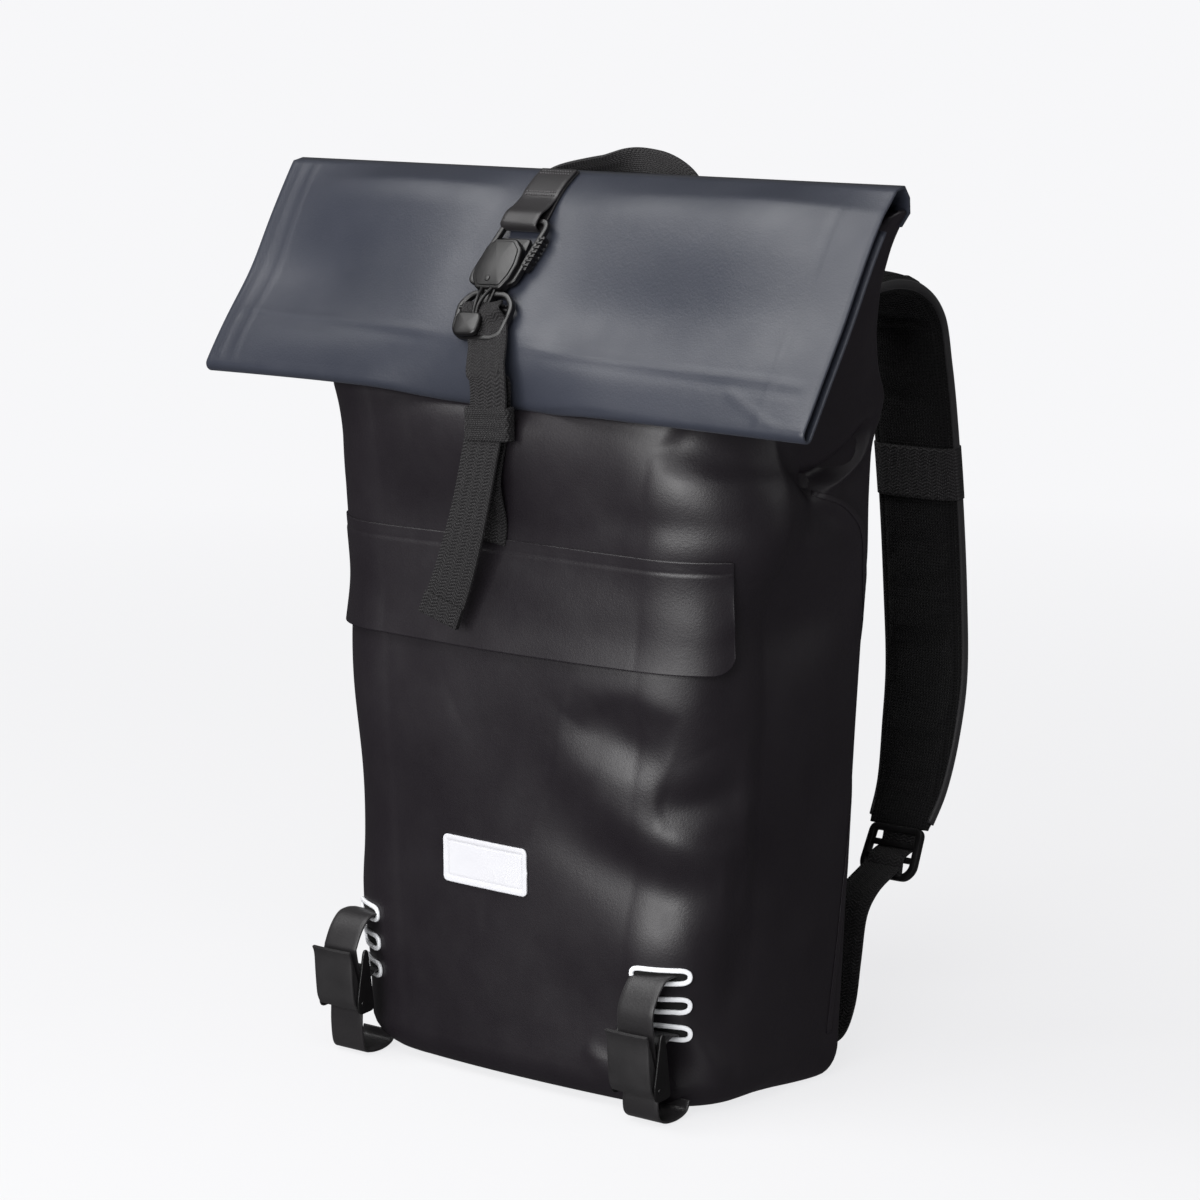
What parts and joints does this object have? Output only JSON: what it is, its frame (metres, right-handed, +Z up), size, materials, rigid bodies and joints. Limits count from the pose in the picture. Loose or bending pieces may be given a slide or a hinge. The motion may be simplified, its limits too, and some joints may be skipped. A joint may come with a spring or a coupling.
{
  "type": "rolltop backpack",
  "caption": "Upright rolltop backpack of coated fabric, with a folded-over top held by a buckled strap, a front pocket flap, padded shoulder straps and carry straps at its foot.",
  "frame": {"origin": "on the floor under the middle of the whole backpack's box", "axes": "+X to the bag's own left-to-right as seen from the front, +Y from its front face towards its back panel, +Z up"},
  "size_m": [0.42, 0.2754, 0.5008],
  "materials": {
    "coated_fabric": "black coated fabric with a soft satin sheen",
    "slate_fabric": "slate blue coated fabric, satin",
    "label": "white moulded patch, bare",
    "rim": "pale grey moulded slot rim",
    "plastic": "black moulded plastic, fine satin",
    "webbing": "black woven webbing, bare",
    "padding": "black padded strap, mesh on its inner face"
  },
  "bodies": {
    "bag": {"body_shell": "coated_fabric", "rolltop": "slate_fabric", "pocket_flap": "coated_fabric", "label_patch": "label", "anchor_tape": "webbing", "buckle_upper": "plastic", "buckle_plate": "plastic", "buckle_lower": "plastic", "buckle_tab": "plastic", "closure_strap": "webbing", "strap_keeper": "webbing", "slot_rim_top_right": "rim", "slot_rim_middle_right": "rim", "slot_rim_bottom_right": "rim", "carry_tape_right": "webbing", "carry_anchor_right": "webbing", "cam_frame_right": "plastic", "shoulder_pad_right": "padding", "strap_sleeve_right": "webbing", "ladder_lock_right": "plastic", "lower_webbing_right": "webbing", "slot_rim_top_left": "rim", "slot_rim_middle_left": "rim", "slot_rim_bottom_left": "rim", "carry_tape_left": "webbing", "carry_anchor_left": "webbing", "cam_frame_left": "plastic", "shoulder_pad_left": "padding", "strap_sleeve_left": "webbing", "ladder_lock_left": "plastic", "lower_webbing_left": "webbing", "grab_handle": "webbing"},
    "lever_right": {"cam_lever_right": "plastic"},
    "lever_left": {"cam_lever_left": "plastic"}
  },
  "joints": [
    {"name": "right_lever_hinge", "type": "hinge", "parent": "bag", "child": "lever_right", "pos_m": [0.1057, -0.13125, 0.021], "axis": [1, 0, 0], "range_deg": [0, 75]},
    {"name": "left_lever_hinge", "type": "hinge", "parent": "bag", "child": "lever_left", "pos_m": [-0.1057, -0.13125, 0.031], "axis": [1, 0, 0], "range_deg": [0, 75]}
  ]
}
